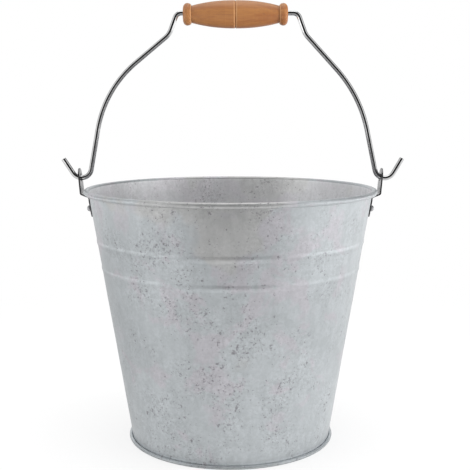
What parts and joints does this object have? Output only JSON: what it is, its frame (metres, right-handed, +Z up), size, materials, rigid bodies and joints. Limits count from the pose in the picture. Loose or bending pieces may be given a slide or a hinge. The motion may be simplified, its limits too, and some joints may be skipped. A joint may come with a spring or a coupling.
{
  "type": "bucket",
  "caption": "Tapered galvanised sheet-metal bucket with a rolled rim, two ribs, riveted ears, a swinging wire bail and a turned wooden grip.",
  "frame": {"origin": "on the floor, at the middle of the bucket's foot", "axes": "+Z up out of the bucket's mouth, ears at -X and +X, the wall's seam at +Y, front at -Y"},
  "size_m": [0.3452, 0.294, 0.4412],
  "materials": {
    "galvanised_sheet": "hot-dip galvanised, matt grey with a mottled spangle",
    "pressed_steel": "dark zinc-plated steel",
    "rivet_steel": "plain galvanised steel",
    "bright_wire": "bright plated steel wire",
    "varnished_wood": "turned hardwood, orange-brown satin varnish"
  },
  "bodies": {
    "bucket": {"bucket_wall": "galvanised_sheet", "bottom_pan": "galvanised_sheet", "rim_wire": "pressed_steel", "left_ear": "pressed_steel", "right_ear": "pressed_steel", "rivet_left_front": "rivet_steel", "rivet_left_back": "rivet_steel", "rivet_right_front": "rivet_steel", "rivet_right_back": "rivet_steel"},
    "bail": {"bail_wire": "bright_wire"},
    "grip": {"wooden_grip": "varnished_wood"}
  },
  "joints": [
    {"name": "bail_swing", "type": "hinge", "parent": "bucket", "child": "bail", "pos_m": [0, 0, 0.26675], "axis": [1, 0, 0], "range_deg": [-93.5, 93.5]},
    {"name": "grip_spin", "type": "hinge", "parent": "bail", "child": "grip", "pos_m": [0.0049, 0, 0.4276], "axis": [1, 0, 0], "continuous": true}
  ]
}
